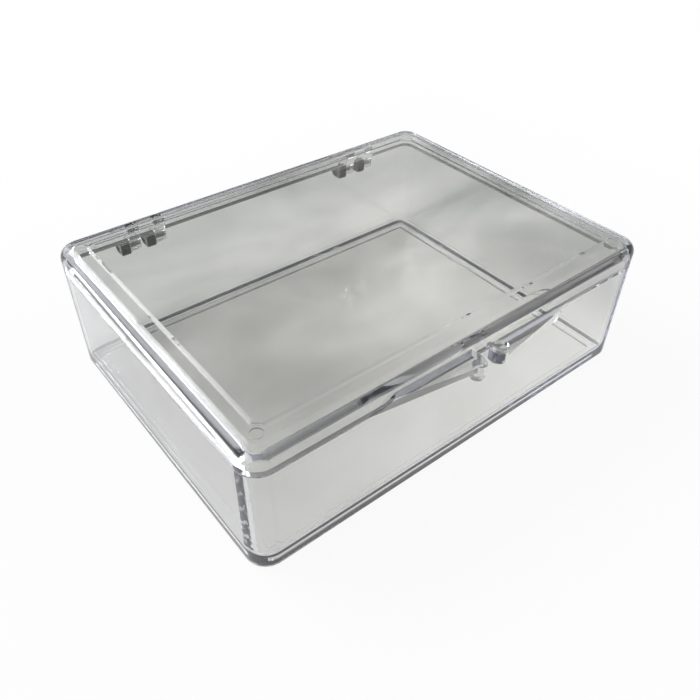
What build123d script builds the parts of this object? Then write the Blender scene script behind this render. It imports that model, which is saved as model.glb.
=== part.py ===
"""Clear hinged case for a stack of trading cards: a deep tray and a shallow flush lid.

Both pieces are single injection mouldings, with walls of the same thickness where they meet.
Four snap hooks on the lid clip over pins on the tray's lugs, two pips on the tray's shoulder press
into dimples in the lid's rim, and a pair of thumb tabs, one on each piece, prises the case open.

Frame: X runs along the long side, the front with the tabs faces -Y, the hinges are at +Y, and Z is up.
The origin lies under the middle of the tray, on the plane that its foot ring stands on.
"""

import os
from math import cos, radians, sin

from build123d import *

# Overall size, in mm
case_length = 98.5
case_width = 74.3
corner_radius = 4.4  # upright corners, in plan
wall_height = 24.3  # tray wall, from its bottom edge up to the shoulder that the lid lands on
lid_depth = 5.05  # lid, from its rim up to the top
rim_gap = 0.05  # film of air between the shoulder and the lid's rim
rim_wall = 2.2  # wall of tray and lid, where they meet
wall_draft = 0.7  # degrees that the inner walls lean, so that each moulding leaves its core
parting_edge_chamfer = 0.15  # both mouldings, where they meet outside

# Tray
floor_thickness = 1.5
tray_edge_radius = 0.7  # round under the outside of the tray
well_floor_radius = 1.6
foot_height = 0.5
foot_inset = 3.3  # foot ring, in from the outside of the tray
stack_clearance = 0.2  # the foot ring of the next case fits round this lid's raised panel

# Lid
lid_plate = 1.5
lid_edge_radius = 2.4  # round along the top edge of the lid
lid_inner_radius = 0.8  # round between skirt and plate, inside
panel_inset = 4.9  # raised panel, in from the outside of the lid
panel_rise = 0.15
panel_corner_radius = 2.0
panel_edge_slope = 75.0  # degrees that the panel's edge leans, so that it is a soft step
ejector_inset = 4.8  # middle of the flat pad in each corner under the lid, from both sides
ejector_pad_radius = 2.3
ejector_mark_radius = 1.15
ejector_mark_depth = 0.2

# Catch: pips on the tray's shoulder, behind the thumb tabs' nubs, that press into dimples in the lid's rim
pip_spread = 5.5  # between the two pips
pip_radius = 0.5
pip_height = 0.8
pip_lead = 0.2  # chamfer that guides a pip in
pip_clearance = 0.1  # between pip and dimple, all round and at its end

# Thumb tabs, one on the lid left of the middle and its twin on the tray right of the middle
nub_offset = 2.75  # from the middle of the case to the centre of each nub
nub_radius = 1.5
nub_standoff = 0.85  # bare gap between the nub and the wall behind it
nub_above = 1.2  # the nub's end on its own side of the parting plane
nub_below = 2.4  # the nub's end on the far side of the parting plane
nub_end_radius = 0.35
nub_proud = 0.3  # how far the nub bulges out of the tab's edge
tab_reach_along = 24.0  # from the nub to where the tab runs out into the wall
tab_root_height = 2.4
tab_edge_height = 1.0
tab_leaf_length = 6.0  # curved run-out at the tab's thin end
tab_root_depth = 0.5  # how far the tab is let into the wall

# Snap hinges
hinge_spread = 60.6  # between the middles of the two hinges
hinge_standout = 2.05  # hinge axis, out from the rear wall
hinge_drop = 2.6  # hinge axis, below the shoulder
pin_radius = 0.8
pin_end_chamfer = 0.2
running_fit = 0.05  # radial, between pin and hook
hook_pitch = 6.1  # between the two hooks of a hinge, each with its lug on the -X side
lug_width = 2.1
hook_width = 2.5
hook_wall_gap = 0.25  # between hook and rear wall
hook_mouth = 1.2  # slot that the pin snaps through, narrower than the pin
hook_root_height = 2.3  # top of the hook on the skirt, above the shoulder
hook_shoulder_height = 0.9  # top of the hook's upright outer face, above the hinge axis
lug_side_gap = 0.2  # between a lug and the hook beside it
lug_nose_radius = 1.3
lug_top_gap = 0.3  # top of the lug, below the shoulder
lug_root_length = 3.5
hinge_root_depth = 0.5  # how far hooks and lugs are let into their walls
lid_open_angle = 115.0  # the heel of each hook meets the rear wall here
stop_gap = 0.1

# Levels and places worked out from the sizes above
floor_top = foot_height + floor_thickness
shoulder_z = foot_height + wall_height
rim_z = shoulder_z + rim_gap
lid_top = rim_z + lid_depth
plate_z = lid_top - lid_plate
front_y = -case_width / 2
rear_y = case_width / 2
foot_width = panel_inset - stack_clearance - foot_inset
hinge_y = rear_y + hinge_standout
hinge_z = shoulder_z - hinge_drop
hinge_places = [-hinge_spread / 2, hinge_spread / 2]
hook_offset = lug_width / 2 + lug_side_gap + hook_width / 2
pair_places = [x + side * hook_pitch / 2 for x in hinge_places for side in (-1, 1)]
lug_places = [x - hook_offset / 2 for x in pair_places]
hook_places = [x + hook_offset / 2 for x in pair_places]


def plan(inset, radius_limit=0.5):
    """The case's outline in plan, drawn in by one distance all round."""
    radius = max(corner_radius - inset, radius_limit)
    return RectangleRounded(case_length - 2 * inset, case_width - 2 * inset, radius)


# One thumb tab, drawn with its origin on the wall's face at the parting plane.
# It stands out towards -Y and lies on the +Z side, left of the middle.
nub_y = -(nub_standoff + nub_radius)
tab_tip_x = -(nub_offset + tab_reach_along)
tab_reach_out = nub_standoff + 2 * nub_radius - nub_proud
with BuildPart() as grip_nub:
    with BuildSketch(Plane.XY.offset(-nub_below)):
        with Locations((-nub_offset, nub_y)):
            Circle(nub_radius)
    extrude(amount=nub_below + nub_above)
    fillet(grip_nub.edges().filter_by(GeomType.CIRCLE), nub_end_radius)

with BuildPart() as thumb_tab:
    # seen from above: a thin end in the wall, widening towards the nub
    with BuildSketch():
        with Locations((-nub_offset, nub_y)):
            Circle(nub_radius - nub_proud)
        with BuildLine():
            Polyline((tab_tip_x, 0), (tab_tip_x, tab_root_depth), (-nub_offset, tab_root_depth), close=True)
        make_face()
        make_hull()
    extrude(amount=tab_root_height)
    # seen from the end: a thin outer edge and a top that climbs to the wall
    with BuildSketch(Plane.YZ):
        with BuildLine():
            Polyline(
                (tab_root_depth, 0),
                (-tab_reach_out, 0),
                (-tab_reach_out, tab_edge_height),
                (0, tab_root_height),
                (tab_root_depth, tab_root_height),
                close=True,
            )
        make_face()
    extrude(amount=-tab_tip_x, both=True, mode=Mode.INTERSECT)
    # seen from the front: the thin end rises from the parting plane in a curve
    with BuildSketch(Plane.XZ):
        with BuildLine():
            leaf = SagittaArc((tab_tip_x, 0), (tab_tip_x + tab_leaf_length, tab_root_height), -0.5)
            Polyline(leaf @ 1, (0, tab_root_height), (0, 0), leaf @ 0)
        make_face()
    extrude(amount=2 * tab_reach_out, both=True, mode=Mode.INTERSECT)
    add(grip_nub.part)


# One hinge lug, a rib with a pin standing out of its +X side for one hook
with BuildPart() as hinge_pin:
    with BuildSketch(Plane.YZ):
        with Locations((hinge_y, hinge_z)):
            Circle(pin_radius)
    extrude(amount=hook_offset + hook_width / 2)
    chamfer(hinge_pin.edges().filter_by(GeomType.CIRCLE).sort_by(Axis.X)[-1], pin_end_chamfer)

with BuildPart() as hinge_lug:
    with BuildSketch(Plane.YZ):
        with Locations((hinge_y, hinge_z)):
            Circle(lug_nose_radius)
        with Locations((rear_y, shoulder_z - lug_top_gap)):
            Rectangle(hinge_root_depth, lug_root_length, align=(Align.MAX, Align.MAX))
        make_hull()
    extrude(amount=lug_width / 2, both=True)
    add(hinge_pin.part)


# One pip of the catch, in the middle of the front wall
pip_y = front_y + rim_wall / 2
pip_places = [-pip_spread / 2, pip_spread / 2]
with BuildPart() as catch_pip:
    with BuildSketch(Plane.XY.offset(shoulder_z)):
        with Locations((0, pip_y)):
            Circle(pip_radius)
    extrude(amount=pip_height)
    chamfer(catch_pip.edges().group_by(Axis.Z)[-1], pip_lead)


# The mould's core for the inside of the tray, which the tray is drawn round
with BuildPart() as tray_core:
    with BuildSketch(Plane.XY.offset(shoulder_z)):
        plan(rim_wall)
    extrude(amount=floor_top - shoulder_z, taper=wall_draft)
    fillet(tray_core.edges().group_by(Axis.Z)[0], well_floor_radius)


# The tray
with BuildPart() as base_tray:
    with BuildSketch(Plane.XY.offset(foot_height)):
        plan(0)
    extrude(amount=wall_height)
    fillet(base_tray.edges().group_by(Axis.Z)[0], tray_edge_radius)
    chamfer(base_tray.edges().group_by(Axis.Z)[-1], parting_edge_chamfer)
    add(tray_core.part, mode=Mode.SUBTRACT)

    with Locations(*[(x, 0, 0) for x in pip_places]):
        add(catch_pip.part)

    # ring that the tray stands on
    with BuildSketch():
        plan(foot_inset)
        add(plan(foot_inset + foot_width), mode=Mode.SUBTRACT)
    extrude(amount=foot_height)

    with Locations(*[(x, 0, 0) for x in lug_places]):
        add(hinge_lug.part)

    # thumb tab, turned half round so that it lies below the parting plane and right of the middle
    with Locations(Location((0, front_y, shoulder_z), (0, 180, 0))):
        add(thumb_tab.part)


# One snap hook of the lid, which hangs behind the rear wall.
# Its heel lies flat on the wall when the lid is fully open, and stops it there.
lobe_radius = hinge_standout - hook_wall_gap
inner_y = hinge_y - lobe_radius
outer_y = hinge_y + lobe_radius
mouth_y = hinge_y + hook_mouth / 2
hook_root_z = shoulder_z + hook_root_height
heel_tilt = radians(lid_open_angle - 90)


def heel_z(y):
    """Height of the heel's face at one distance from the middle of the case."""
    return hinge_z + ((y - hinge_y) * sin(heel_tilt) - hinge_standout + stop_gap) / cos(heel_tilt)


with BuildPart() as snap_hook:
    with BuildSketch(Plane.YZ):
        with BuildLine():
            lobe = CenterArc((hinge_y, hinge_z), lobe_radius, 180, 90)
            Polyline(
                lobe @ 1,
                (mouth_y, heel_z(mouth_y)),
                (outer_y, heel_z(outer_y)),
                (outer_y, hinge_z + hook_shoulder_height),
                (rear_y, hook_root_z),
                (rear_y - hinge_root_depth, hook_root_z),
                (rear_y - hinge_root_depth, rim_z),
                (inner_y, rim_z),
                lobe @ 0,
            )
        make_face()
        with Locations((hinge_y, hinge_z)):
            Circle(pin_radius + running_fit, mode=Mode.SUBTRACT)
            Rectangle(hook_mouth, 2 * lobe_radius, align=(Align.CENTER, Align.MAX), mode=Mode.SUBTRACT)
    extrude(amount=hook_width / 2, both=True)


# The mould's core for the inside of the lid
with BuildPart() as lid_core:
    with BuildSketch(Plane.XY.offset(rim_z)):
        plan(rim_wall)
    extrude(amount=plate_z - rim_z, taper=wall_draft)
    fillet(lid_core.edges().group_by(Axis.Z)[-1], lid_inner_radius)


# The low panel on the lid, which has the same shape outside and inside. Its origin is on its own foot.
panel_length = case_length - 2 * panel_inset
panel_width = case_width - 2 * panel_inset
with BuildPart() as low_panel:
    with BuildSketch():
        RectangleRounded(panel_length, panel_width, panel_corner_radius)
    extrude(amount=panel_rise, taper=panel_edge_slope)


# The lid
pad_spacing_x = case_length - 2 * ejector_inset
pad_spacing_y = case_width - 2 * ejector_inset
with BuildPart() as hinged_lid:
    with BuildSketch(Plane.XY.offset(rim_z)):
        plan(0)
    extrude(amount=lid_depth)
    fillet(hinged_lid.edges().group_by(Axis.Z)[-1], lid_edge_radius)
    chamfer(hinged_lid.edges().group_by(Axis.Z)[0], parting_edge_chamfer)
    add(lid_core.part, mode=Mode.SUBTRACT)

    # the panel rises on top and is hollow from below, except over a round ejector pad in each corner
    with Locations((0, 0, lid_top)):
        add(low_panel.part)
    with Locations((0, 0, plate_z)):
        add(low_panel.part, mode=Mode.SUBTRACT)
    with BuildSketch(Plane.XY.offset(plate_z)):
        with GridLocations(pad_spacing_x, pad_spacing_y, 2, 2):
            Circle(ejector_pad_radius)
    extrude(amount=panel_rise)
    with BuildSketch(Plane.XY.offset(plate_z)):
        with GridLocations(pad_spacing_x, pad_spacing_y, 2, 2):
            Circle(ejector_mark_radius)
    extrude(amount=ejector_mark_depth, mode=Mode.SUBTRACT)

    # dimples in the rim for the tray's pips
    with BuildSketch(Plane.XY.offset(rim_z)):
        with Locations(*[(x, pip_y) for x in pip_places]):
            Circle(pip_radius + pip_clearance)
    extrude(amount=pip_height - rim_gap + pip_clearance, mode=Mode.SUBTRACT)

    with Locations(*[(x, 0, 0) for x in hook_places]):
        add(snap_hook.part)

    with Locations(Location((0, front_y, rim_z))):
        add(thumb_tab.part)


os.makedirs("parts", exist_ok=True)
base_tray.part.label = "base_tray"
export_step(base_tray.part, "parts/base_tray.step")
hinged_lid.part.label = "hinged_lid"
export_step(hinged_lid.part, "parts/hinged_lid.step")
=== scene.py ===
# %% [markdown]
# # A clear hinged card case
#
# The case is two pieces of crystal polystyrene: a deep tray and a shallow lid on snap hinges.
# The solids come from the imported model, at their real size and place.
# What is left to make here is how clear plastic looks: its tint, the faint haze and scuffs of
# handling, the slight waviness of a moulded wall, painted shade in soft patches and on the hinge's
# noses, and a studio that lets thin clear walls be seen.

# %% Load the imported model
import math
import bpy
from mathutils import Matrix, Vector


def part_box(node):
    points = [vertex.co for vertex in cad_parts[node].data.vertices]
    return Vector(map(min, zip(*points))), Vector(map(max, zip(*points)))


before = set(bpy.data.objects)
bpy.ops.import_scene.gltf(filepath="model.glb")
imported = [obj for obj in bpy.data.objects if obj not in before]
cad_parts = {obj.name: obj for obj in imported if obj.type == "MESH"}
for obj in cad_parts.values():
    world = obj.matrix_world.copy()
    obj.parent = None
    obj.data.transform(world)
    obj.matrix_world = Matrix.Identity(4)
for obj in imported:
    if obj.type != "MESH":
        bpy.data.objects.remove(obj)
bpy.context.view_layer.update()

MM = 0.001
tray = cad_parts["base_tray"]
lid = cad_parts["hinged_lid"]
tray_low, tray_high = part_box("base_tray")
lid_low, lid_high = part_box("hinged_lid")


def size_mm(low, high):
    """Length, width and height of a box, in mm."""
    return [round((end - start) / MM, 2) for start, end in zip(low, high)]


print("tray, mm:", size_mm(tray_low, tray_high), "lid, mm:", size_mm(lid_low, lid_high))

# %% [markdown]
# ## The camera
#
# A product view from the front left, about 40 degrees above the table, shows the lid, the long
# front with its thumb tabs and one end at once. The camera is built as a chain of turns about
# the middle of the case: first away along its own axis, then rolled, leant back and swung round.
# Written this way, each angle is one number that can be changed by itself.

# %% Place the camera
view_azimuth = -39.29
view_elevation = 40.63
view_roll = 1.02
view_distance = 166.0 * MM
view_pivot = (0, 0, 0.5 * MM)
focal_length = 36.39
sensor_width = 36.0

camera_data = bpy.data.cameras.new("camera")
camera_data.lens = focal_length
camera_data.sensor_width = sensor_width
camera = bpy.data.objects.new("camera", camera_data)
swing = Matrix.Rotation(math.radians(view_azimuth), 4, "Z")
lean = Matrix.Rotation(math.radians(90 - view_elevation), 4, "X")
roll = Matrix.Rotation(math.radians(view_roll), 4, "Z")
away = Matrix.Translation((0, 0, view_distance))
camera.matrix_world = Matrix.Translation(view_pivot) @ swing @ lean @ roll @ away
bpy.context.scene.collection.objects.link(camera)
bpy.context.scene.camera = camera
print("camera at, mm:", [round(v / MM, 1) for v in camera.matrix_world.translation])

# %% [markdown]
# ## Helpers for node trees
#
# Materials, node groups, the room and a lamp's glow are all trees of nodes with links between
# their sockets. Two helpers keep the later cells short. The first adds a node and sets its inputs
# by name. The second feeds an input, either with a plain value or with another node's output,
# which is written as a pair of the node and the output's name.


# %% Nodes and links
def add_node(tree, kind, settings=None, **inputs):
    """A new node of one kind. Settings are its own options, and inputs are values by name."""
    node = tree.nodes.new(kind)
    for name, value in (settings or {}).items():
        setattr(node, name, value)
    for name, value in inputs.items():
        node.inputs[name.replace("_", " ")].default_value = value
    return node


def feed(tree, value, node, socket):
    """Gives an input a plain value, or links it to an output written as (node, output)."""
    if isinstance(value, tuple) and isinstance(value[0], bpy.types.Node):
        tree.links.new(value[0].outputs[value[1]], node.inputs[socket])
    else:
        node.inputs[socket].default_value = value


print("helpers:", add_node.__name__, feed.__name__)

# %% [markdown]
# ## Sums, ranges and blends
#
# Most nodes below do one of five small jobs: a sum of two values, the share of one direction that
# lies along another, a stretch of one range of values onto a second range, a mix of two colours
# or a mix of two shaders. Each helper returns its output as a pair, so that calls can be nested
# and a long chain of nodes still reads like a formula.


# %% Small jobs
def calculate(tree, operation, *values, clamp=False):
    """One maths node."""
    node = add_node(tree, "ShaderNodeMath", {"operation": operation, "use_clamp": clamp})
    for socket, value in enumerate(values):
        feed(tree, value, node, socket)
    return node, 0


def along(tree, vector, direction):
    """How far a vector reaches along one direction."""
    node = add_node(tree, "ShaderNodeVectorMath", {"operation": "DOT_PRODUCT"})
    feed(tree, vector, node, 0)
    feed(tree, direction, node, 1)
    return node, "Value"


def stretch_range(tree, value, low, high, to_low=0.0, to_high=1.0, curve="LINEAR"):
    """Maps the range low to high onto the range to_low to to_high."""
    node = add_node(tree, "ShaderNodeMapRange", {"interpolation_type": curve})
    ends = {"Value": value, "From Min": low, "From Max": high, "To Min": to_low, "To Max": to_high}
    for socket, end in ends.items():
        feed(tree, end, node, socket)
    return node, "Result"


def mix_colours(tree, share, first, second):
    """Two colours, mixed by the share of the second."""
    node = add_node(tree, "ShaderNodeMix", {"data_type": "RGBA"})
    share_socket, first_socket, second_socket, mixed_output = 0, 6, 7, 2
    feed(tree, share, node, share_socket)
    feed(tree, first, node, first_socket)
    feed(tree, second, node, second_socket)
    return node, mixed_output


def mix_shaders(tree, share, first, second):
    """Two shaders, mixed by the share of the second."""
    node = add_node(tree, "ShaderNodeMixShader")
    for socket, value in enumerate((share, (first, 0), (second, 0))):
        feed(tree, value, node, socket)
    return node, 0


print("small jobs: sum, share along a direction, range, colours, shaders")

# %% [markdown]
# ## Tint and painted shade
#
# Clear polystyrene has a faint warm grey tint of its own. The darker patches mixed into it are
# painted shade: they stand in for the uneven shade seen through the case, not for anything in the
# plastic. Both only change how much light a wall lets through, so they are a colour: the clear grey
# and the shaded grey, mixed by a slow noise that lies in the piece itself.
# It is a group, because tray and lid both carry it, each with its own patch size and greys.


# %% Tint and painted shade group
def new_group(name, inputs, outputs):
    """An empty node group. Inputs are (name, kind, value), and outputs are (name, kind)."""
    group = bpy.data.node_groups.new(name, "ShaderNodeTree")
    for label, kind, value in inputs:
        socket = group.interface.new_socket(label, in_out="INPUT", socket_type=kind)
        socket.default_value = value
    for label, kind in outputs:
        group.interface.new_socket(label, in_out="OUTPUT", socket_type=kind)
    entry = group.nodes.new("NodeGroupInput")
    leave = group.nodes.new("NodeGroupOutput")
    print("group", name, "in:", [i[0] for i in inputs], "out:", [o[0] for o in outputs])
    return group, entry, leave


patch_detail, patch_roughness, patch_swirl = 3.0, 0.45, 0.6
clear_up_to, shade_patch_from = 0.35, 0.68  # levels of the noise

tint_and_painted_shade, entry, leave = new_group(
    "clear_tint_painted_shade",
    [
        ("Clear", "NodeSocketColor", (0.9, 0.9, 0.9, 1)),
        ("Cloudy", "NodeSocketColor", (0.8, 0.8, 0.8, 1)),
        ("Size", "NodeSocketFloat", 45.0),
        ("Stretch", "NodeSocketFloat", 1.6),
        ("Shift", "NodeSocketVector", (0.0, 0.0, 0.0)),
    ],
    [("Color", "NodeSocketColor")],
)
place = add_node(tint_and_painted_shade, "ShaderNodeTexCoord")
stretch = add_node(tint_and_painted_shade, "ShaderNodeCombineXYZ", X=1.0, Z=1.0)
feed(tint_and_painted_shade, (entry, "Stretch"), stretch, "Y")
moved = add_node(tint_and_painted_shade, "ShaderNodeMapping")
feed(tint_and_painted_shade, (place, "Object"), moved, "Vector")
feed(tint_and_painted_shade, (stretch, 0), moved, "Scale")
feed(tint_and_painted_shade, (entry, "Shift"), moved, "Location")
slow = add_node(tint_and_painted_shade, "ShaderNodeTexNoise", Detail=patch_detail, Roughness=patch_roughness)
feed(tint_and_painted_shade, patch_swirl, slow, "Distortion")
feed(tint_and_painted_shade, (moved, "Vector"), slow, "Vector")
feed(tint_and_painted_shade, (entry, "Size"), slow, "Scale")
# how much of the shaded grey is mixed in: this is the painted shade
shade_patch_share = stretch_range(tint_and_painted_shade, (slow, 0), clear_up_to, shade_patch_from)
tinted = mix_colours(tint_and_painted_shade, shade_patch_share, (entry, "Clear"), (entry, "Cloudy"))
feed(tint_and_painted_shade, tinted, leave, "Color")

# %% [markdown]
# ## Dark hinge noses
#
# The noses of the tray's lugs, where the lid's hooks wrap round, are small thick pieces of clear
# plastic, and they look nearly black because they bend the view towards the dark parts of the room.
# That darkness is painted shade here: a dark colour behind one depth and below one height.
# A colour alone would not do, because clear plastic throws most light back inside itself and that
# light never takes the surface's colour. So the group also gives a mask for a dark coat, which
# light crosses both ways. Everything else keeps the colour that comes in.

# %% Hinge nose painted shade group
# the dark colour of the painted shade on the hinge's noses
nose_shade_colour = (0.03, 0.024, 0.02, 1)
nose_shade_edge = 0.25 * MM

nose_shade_group, entry, leave = new_group(
    "hinge_nose_painted_shade",
    [
        ("Color", "NodeSocketColor", (1, 1, 1, 1)),
        ("Behind", "NodeSocketFloat", 0.04),
        ("Below", "NodeSocketFloat", 0.02),
    ],
    [("Color", "NodeSocketColor"), ("Darkened", "NodeSocketFloat")],
)
place = add_node(nose_shade_group, "ShaderNodeTexCoord")
spot = add_node(nose_shade_group, "ShaderNodeSeparateXYZ")
feed(nose_shade_group, (place, "Object"), spot, 0)
past_wall = calculate(nose_shade_group, "SUBTRACT", (spot, "Y"), (entry, "Behind"))
under_pin = calculate(nose_shade_group, "SUBTRACT", (entry, "Below"), (spot, "Z"))
into_shade = calculate(nose_shade_group, "MINIMUM", past_wall, under_pin)
# the painted shade fades in over this edge
nose_shade_share = stretch_range(nose_shade_group, into_shade, 0.0, nose_shade_edge)
darkened_colour = mix_colours(nose_shade_group, nose_shade_share, (entry, "Color"), nose_shade_colour)
feed(nose_shade_group, darkened_colour, leave, "Color")
feed(nose_shade_group, nose_shade_share, leave, "Darkened")

# %% [markdown]
# ## Scuffs and moulding waves
#
# Polystyrene is soft enough that every card box has fine hairlines where it slid on a table, and
# a moulded wall is never as flat as float glass. Hairlines are a very stretched noise that lifts
# the roughness a little, and waves are a slow noise that tilts the surface by a fraction of a
# degree. The group gives a roughness and a height, and each material feeds them to its own shader.

# %% Surface group
hairline_turn = (0.3, 0.5, 0.9)
hairline_squeeze = (1.0, 22.0, 6.0)
hairlines_from, hairlines_full = 0.62, 0.78  # levels of the noise

surface, entry, leave = new_group(
    "moulded_surface",
    [
        ("Polish", "NodeSocketFloat", 0.01),
        ("Scuff", "NodeSocketFloat", 0.08),
        ("Hairlines", "NodeSocketFloat", 260.0),
        ("Wave", "NodeSocketFloat", 60.0),
    ],
    [("Roughness", "NodeSocketFloat"), ("Height", "NodeSocketFloat")],
)
place = add_node(surface, "ShaderNodeTexCoord")
slide = add_node(surface, "ShaderNodeMapping", Rotation=hairline_turn, Scale=hairline_squeeze)
feed(surface, (place, "Object"), slide, "Vector")
hair = add_node(surface, "ShaderNodeTexNoise", Detail=2.0, Roughness=0.5)
feed(surface, (slide, "Vector"), hair, "Vector")
feed(surface, (entry, "Hairlines"), hair, "Scale")
scratched = stretch_range(surface, (hair, 0), hairlines_from, hairlines_full)
rubbed = calculate(surface, "MULTIPLY_ADD", scratched, (entry, "Scuff"), (entry, "Polish"))
feed(surface, rubbed, leave, "Roughness")
wave = add_node(surface, "ShaderNodeTexNoise", Detail=1.0, Roughness=0.4)
feed(surface, (place, "Object"), wave, "Vector")
feed(surface, (entry, "Wave"), wave, "Scale")
feed(surface, (wave, 0), leave, "Height")

# %% [markdown]
# ## Clear polystyrene
#
# The plastic bends light more than glass does, with an index of 1.59, and that is what draws the
# dark and bright lines along every edge: light that meets a wall's end from inside is thrown back.
# The shader stays a plain transmitting one, with 2 % left over for the faint milky haze that every
# moulded surface has; it also frees light that would run round inside an edge for ever.
# A weak absorption inside the solid adds the rest: a thin wall stays clear, while an edge,
# which light crosses the long way, turns grey with the violet toner that such plastic is made with.

# %% Plastic material
refraction_index = 1.59
toner_colour = (0.72, 0.73, 0.86, 1)
toner_density = 40.0
wave_depth = 0.006 * MM
clear_share = 0.98
thin_film_index = 1.0  # a coat that tints and does not shine


def clear_plastic(name, clear, shade_patch_colour, shade_patch_size, shade_patch_shift, scuff, dark_noses_from=None):
    """Clear moulded plastic, with its own greys, its own patches of painted shade and its own
    amount of scuffs, and where given, painted shade on the hinge's noses.
    """
    material = bpy.data.materials.new(name)
    material.use_nodes = True
    tree = material.node_tree
    shader = tree.nodes["Principled BSDF"]
    feed(tree, refraction_index, shader, "IOR")
    feed(tree, clear_share, shader, "Transmission Weight")
    tint = add_node(tree, "ShaderNodeGroup", {"node_tree": tint_and_painted_shade}, Clear=clear, Cloudy=shade_patch_colour)
    feed(tree, shade_patch_size, tint, "Size")
    feed(tree, shade_patch_shift, tint, "Shift")
    if dark_noses_from is None:
        feed(tree, (tint, "Color"), shader, "Base Color")
    else:
        # the hinge's noses get painted shade, both as a colour and as a dark coat
        behind, below = dark_noses_from
        nose_shade = add_node(tree, "ShaderNodeGroup", {"node_tree": nose_shade_group}, Behind=behind)
        feed(tree, below, nose_shade, "Below")
        feed(tree, (tint, "Color"), nose_shade, "Color")
        feed(tree, (nose_shade, "Color"), shader, "Base Color")
        feed(tree, (nose_shade, "Darkened"), shader, "Coat Weight")
        feed(tree, nose_shade_colour, shader, "Coat Tint")
        feed(tree, thin_film_index, shader, "Coat IOR")
    face = add_node(tree, "ShaderNodeGroup", {"node_tree": surface}, Scuff=scuff)
    feed(tree, (face, "Roughness"), shader, "Roughness")
    ripple = add_node(tree, "ShaderNodeBump", Distance=wave_depth, Strength=1.0)
    feed(tree, (face, "Height"), ripple, "Height")
    feed(tree, (ripple, "Normal"), shader, "Normal")
    toner = add_node(tree, "ShaderNodeVolumeAbsorption", Color=toner_colour, Density=toner_density)
    feed(tree, (toner, 0), tree.nodes["Material Output"], "Volume")
    print("material", name)
    return material


# %% [markdown]
# ## Tray and lid
#
# The lid is handled far more than the tray, so it carries more scuffs; it also carries the deeper
# patches of painted shade. Only the tray has the hinge's noses. Their painted shade begins a
# millimetre outside its rear wall and about level with its pins, as seen from the middle of the
# case and up from the table.

# %% Dress the two mouldings
behind_rear_wall = 38.2 * MM
level_with_pins = 22.6 * MM


def dress(node, material):
    """A CAD node keeps its mesh and gets one material."""
    node.data.materials.clear()
    node.data.materials.append(material)
    print(node.name, "wears", material.name)


tray_plastic = clear_plastic(
    "tray_crystal_polystyrene",
    clear=(0.985, 0.985, 0.96, 1),
    # the shaded grey is painted shade, in faint patches
    shade_patch_colour=(0.92, 0.923, 0.885, 1),
    shade_patch_size=42.0,
    shade_patch_shift=(0.0, 0.0, 0.0),
    scuff=0.05,
    dark_noses_from=(behind_rear_wall, level_with_pins),
)
lid_plastic = clear_plastic(
    "lid_crystal_polystyrene",
    clear=(0.985, 0.985, 0.955, 1),
    # the shaded grey is painted shade, much darker than the tray's, in patches placed by the shift
    shade_patch_colour=(0.64, 0.646, 0.62, 1),
    shade_patch_size=20.0,
    shade_patch_shift=(-0.57, -0.16, -0.94),
    scuff=0.07,
)
dress(tray, tray_plastic)
dress(lid, lid_plastic)

# %% [markdown]
# ## The table
#
# A clear case shows what is under and behind it, so the table matters as much as the plastic.
# It is a plain pale surface that keeps the case's shadow. Seen directly it is nearly white, and
# white farther out. Seen through the plastic it is the same table with its own shading, so that
# the case stands out grey against it as clear plastic does on a white sheet.
#
# A ray that plastic has bent counts as glossy too, so the mirrored rays, which also see white,
# are the glossy ones that did not pass through anything.
#
# Two things need help there. Light that leaks in through clear walls is slow to trace, so it is
# put back on the table under the case: least in the corner behind the tall walls on the window's
# side, most in the opposite one. And in front of the case the table falls into the shade of
# whoever stands there, which is what turns the lid's front edge dark.
#
# Distances from the case are told in its own half sizes, so 1 is the edge of the case.

# %% Where a ray meets the table
case_reach = [max(abs(low), abs(high)) for low, high in zip(tray_low[:2], tray_high[:2])]
case_edge = 1.0

table_paint = bpy.data.materials.new("pale_table")
table_paint.use_nodes = True
tree = table_paint.node_tree
tree.nodes.clear()
place = add_node(tree, "ShaderNodeTexCoord")
spot = add_node(tree, "ShaderNodeSeparateXYZ")
feed(tree, (place, "Object"), spot, 0)
out_along = [
    calculate(tree, "DIVIDE", calculate(tree, "ABSOLUTE", (spot, axis)), reach)
    for axis, reach in zip("XY", case_reach)
]
outward = calculate(tree, "MAXIMUM", *out_along)
print("half sizes of the case, mm:", [round(reach / MM, 1) for reach in case_reach])

# %% White when seen
white_near, white_far = 0.93, 1.0
near_case, far_from_case = 1.3, 3.5

path = add_node(tree, "ShaderNodeLightPath")
glossy_ray, through_ray = (path, "Is Glossy Ray"), (path, "Is Transmission Ray")
mirrored = calculate(tree, "SUBTRACT", glossy_ray, through_ray, clamp=True)
seen = calculate(tree, "MAXIMUM", (path, "Is Camera Ray"), mirrored)
whiter = stretch_range(tree, outward, near_case, far_from_case, white_near, white_far)
seen_share = calculate(tree, "MULTIPLY", seen, whiter)
print("share of white near the case and far out:", white_near, white_far)

# %% Light that leaks in under the case
shaded_corner_to_lit = (0.92, -0.4, 0)
light_in_shade, light_when_lit = 0.44, 0.86
under_case_fade = 1.45

corner = along(tree, (place, "Object"), shaded_corner_to_lit)
lit = stretch_range(tree, corner, -case_reach[0], case_reach[0], light_in_shade, light_when_lit)
under = stretch_range(tree, outward, case_edge, under_case_fade, lit, 0.0)
through_share = calculate(tree, "MULTIPLY", through_ray, under)
share = calculate(tree, "MAXIMUM", seen_share, through_share)
print("share of leaked light in the shaded and lit corner:", light_in_shade, light_when_lit)

# %% Table colours
table_colour = (0.88, 0.88, 0.87, 1)
front_shade = (0.32, 0.32, 0.315, 1)
front_shade_from, front_shade_full = -1.25 * case_reach[1], -1.7 * case_reach[1]

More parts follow.
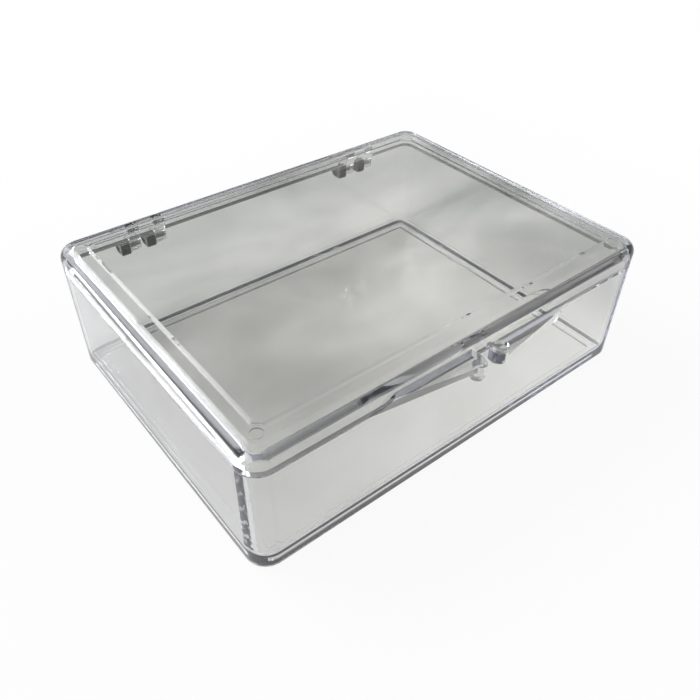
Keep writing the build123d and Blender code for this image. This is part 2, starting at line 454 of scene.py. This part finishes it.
before_case = stretch_range(tree, (spot, "Y"), front_shade_from, front_shade_full)
shaded = calculate(tree, "MULTIPLY", before_case, through_ray)
matt = add_node(tree, "ShaderNodeBsdfDiffuse")
feed(tree, mix_colours(tree, shaded, table_colour, front_shade), matt, "Color")
white = add_node(tree, "ShaderNodeEmission", Color=(1, 1, 1, 1), Strength=1.0)
output = add_node(tree, "ShaderNodeOutputMaterial")
feed(tree, mix_shaders(tree, share, matt, white), output, "Surface")
print("table nodes:", len(tree.nodes))

# %% Table
table_size = 3.0
table_gap = 0.1 * MM
bpy.ops.mesh.primitive_plane_add(size=table_size, location=(0, 0, -table_gap))
table = bpy.context.object
table.name = "table"
table.data.materials.append(table_paint)
print("table", table_size, "m across")

# %% [markdown]
# ## The room
#
# Clear plastic has no look of its own: its edges show the room. In a plain bright room they would
# be pale and thin. An ordinary room does better: it is dim, lighter towards the window, lightest
# at the ceiling, so edges turn grey against the table and rounded corners catch a white line.
# The room here is a few bands of grey round the compass, cool on the window's side and warm on the
# other, with a brighter ceiling. It is white when seen directly. Rays that plastic has bent or
# mirrored still meet the grey room: with white there too, the floor seen through the lid loses
# its grey and the dark lines along the edges grow faint.

# %% Room
right_of_case = (0.985, -0.174, 0)
# how far to the right a wall stands, from -1 to 1, and how light it is
room_light_turn = [
    (-0.45, 0.42),
    (-0.10, 0.24),
    (0.32, 0.15),
    (0.45, 0.30),
    (0.62, 0.20),
    (0.80, 0.45),
]
room_warm = (1.0, 0.985, 0.95, 1)
room_cool = (0.92, 0.95, 1.0, 1)
ceiling = (0.62, 0.63, 0.66, 1)
ceiling_from, ceiling_full = 0.76, 0.90

world = bpy.data.worlds.new("room")
bpy.context.scene.world = world
world.use_nodes = True
tree = world.node_tree
tree.nodes.clear()
direction = add_node(tree, "ShaderNodeTexCoord")
toward_right = along(tree, (direction, "Generated"), right_of_case)
walls = add_node(tree, "ShaderNodeValToRGB")
feed(tree, stretch_range(tree, toward_right, -1.0, 1.0), walls, 0)
bands = walls.color_ramp
bands.interpolation = "EASE"
while len(bands.elements) < len(room_light_turn):
    bands.elements.new(0.5)  # its place is set below
for band, (turn, light) in zip(bands.elements, room_light_turn):
    band.position = (turn + 1) / 2
    tone = room_warm if turn > 0 else room_cool
    band.color = (light * tone[0], light * tone[1], light * tone[2], 1)
parts = add_node(tree, "ShaderNodeSeparateXYZ")
feed(tree, (direction, "Generated"), parts, 0)
up = stretch_range(tree, (parts, "Z"), ceiling_from, ceiling_full)
room_light = add_node(tree, "ShaderNodeBackground", Strength=1.0)
feed(tree, mix_colours(tree, up, (walls, "Color"), ceiling), room_light, "Color")
room_white = add_node(tree, "ShaderNodeBackground", Color=(1, 1, 1, 1), Strength=1.0)
path = add_node(tree, "ShaderNodeLightPath")
output = add_node(tree, "ShaderNodeOutputWorld")
feed(tree, mix_shaders(tree, (path, "Is Camera Ray"), room_light, room_white), output, "Surface")
print("room bands:", len(bands.elements))

# %% [markdown]
# ## The window
#
# One lamp is as large as a window and stands at the rear left, where it lights the table from
# behind the case and leaves a soft shadow in front. It fades out towards its rim, because flat
# clear walls mirror it like glass, and a lamp with a hard rim would draw that rim across the lid.
# The glow of a lamp is a node tree too: both measures of the spot on the lamp run from 0 to 1,
# folding them at the middle gives the distance to the nearer rim, and the product of the two
# ramps dims all four sides.

# %% Window lamp
window_place = (-0.49, 0.92, 0.62)
window_width, window_height = 1.6, 1.4
window_power = 30.0
window_colour = (0.95, 0.97, 1.0)
lamp_middle = 0.5
soft_rim = 0.25

window = bpy.data.lights.new("window", "AREA")
window.shape = "RECTANGLE"
window.size = window_width
window.size_y = window_height
window.energy = window_power
window.color = window_colour
window.use_nodes = True
tree = window.node_tree
geometry = add_node(tree, "ShaderNodeNewGeometry")
across_lamp = add_node(tree, "ShaderNodeSeparateXYZ")
feed(tree, (geometry, "Parametric"), across_lamp, 0)
rim_ramps = []
for axis in "XY":
    from_rim = calculate(tree, "PINGPONG", (across_lamp, axis), lamp_middle)
    rim_ramps.append(stretch_range(tree, from_rim, 0.0, soft_rim, curve="SMOOTHSTEP"))
glow = calculate(tree, "MULTIPLY", *rim_ramps)
feed(tree, glow, tree.nodes["Emission"], "Strength")

lamp = bpy.data.objects.new("window", window)
lamp.location = window_place
lamp.rotation_euler = lamp.location.to_track_quat("Z", "Y").to_euler()
bpy.context.scene.collection.objects.link(lamp)
print("window lamp", window_power, "W")

# %% [markdown]
# ## Light paths
#
# A clear box seen through its own walls needs many crossings: each wall is two surfaces, and light
# that is caught in an edge bounces along it. With too few steps such paths end in black, so the
# limits are raised well above the usual ones.

# %% Path limits
crossings = 40
mirrored_steps = 24

cycles = bpy.context.scene.cycles
cycles.max_bounces = crossings
cycles.transmission_bounces = crossings
cycles.glossy_bounces = mirrored_steps
bpy.context.scene.view_settings.view_transform = "Standard"
print("bounces", cycles.max_bounces)
